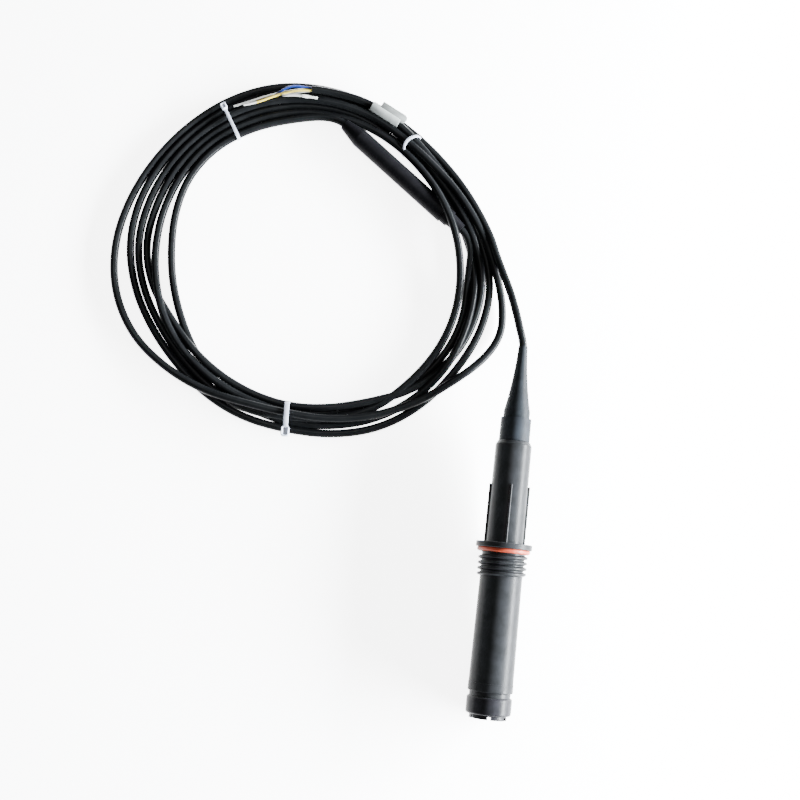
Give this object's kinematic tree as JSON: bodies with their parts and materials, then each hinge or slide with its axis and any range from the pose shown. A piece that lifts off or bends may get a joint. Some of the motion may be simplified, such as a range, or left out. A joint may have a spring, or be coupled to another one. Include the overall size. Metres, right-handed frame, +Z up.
{
  "type": "optical dissolved oxygen sensor",
  "caption": "Immersion probe with ribbed grip, flange, coarse mounting thread, orange flange seal, screw-on optical cap with guard teeth, and a tied coil of signal cable with inline module.",
  "frame": {"origin": "middle of the base of the sensor's bounding box, on the surface that it lies on", "axes": "+Z up; +Y along the sensor towards its cable end; +X to the right seen from above with +Y away"},
  "size_m": [0.3424, 0.4704, 0.0413],
  "materials": {
    "housing_plastic": "satin moulded plastic",
    "cap_plastic": "satin moulded plastic",
    "collar_plastic": "matte moulded plastic",
    "relief_rubber": "matte elastomer",
    "seal_orange": "orange silicone",
    "seal_black": "smooth rubber",
    "film_disc": "coated clear disc",
    "window_glass": "polished",
    "holder_plastic": "moulded",
    "lamp_blue": "clear epoxy",
    "lamp_red": "clear epoxy",
    "filter_red": "coloured filter",
    "chip_black": "moulded epoxy",
    "bead_steel": "ground",
    "board_green": "solder resist",
    "connector_white": "moulded",
    "resin_black": "cast resin",
    "washer_brass": "plain",
    "lead_insulation": "extruded",
    "cable_jacket": "smooth extruded jacket",
    "module_plastic": "moulded",
    "marker_plastic": "pale clip-on plastic",
    "tie_nylon": "natural nylon",
    "core_blue": "extruded insulation",
    "core_yellow": "extruded insulation",
    "core_white": "extruded insulation",
    "tinned_wire": "tinned copper strands"
  },
  "bodies": {
    "sensor": {"main_housing": "housing_plastic", "flange_seal": "seal_orange", "collar": "collar_plastic", "strain_relief": "relief_rubber", "sensor_head": "housing_plastic", "cap_seal": "seal_black", "head_seal": "seal_black", "optical_window": "window_glass", "optics_holder": "holder_plastic", "blue_led": "lamp_blue", "red_led": "lamp_red", "photodiode": "chip_black", "optical_filter": "filter_red", "temperature_sensor": "bead_steel", "circuit_board": "board_green", "microcontroller": "chip_black", "transceiver": "chip_black", "lead_connector": "connector_white", "board_carrier": "holder_plastic", "potting_plug": "resin_black", "collar_seal": "seal_black", "gland_seal": "seal_black", "gland_washer": "washer_brass", "inner_leads": "lead_insulation", "cable_inlet": "cable_jacket", "cable_lead": "cable_jacket", "cable_coil": "cable_jacket", "module_sleeve": "module_plastic", "module_near_end": "module_plastic", "module_far_end": "module_plastic", "module_board": "board_green", "cable_marker": "marker_plastic", "cable_tie_1": "tie_nylon", "cable_tie_2": "tie_nylon", "cable_tie_3": "tie_nylon", "core_blue": "core_blue", "core_yellow": "core_yellow", "core_white": "core_white", "core_drain": "tinned_wire", "core_ferrule": "tinned_wire"},
    "film": {"membrane_disc": "film_disc"},
    "cap": {"membrane_cap": "cap_plastic"}
  },
  "joints": [
    {"name": "cap_travel", "type": "slide", "parent": "sensor", "child": "film", "axis": [0, -0.9994, -0.0347], "range_m": [0, 0.00901]},
    {"name": "cap_turn", "type": "hinge", "parent": "film", "child": "cap", "pos_m": [0, -0.12395, 0.01676], "axis": [0, -0.9994, -0.0347], "range_deg": [0, 2160]}
  ],
  "couplings": [
    {"joint": "cap_travel", "follows": "cap_turn", "m_per_rad": 0.00023873}
  ]
}
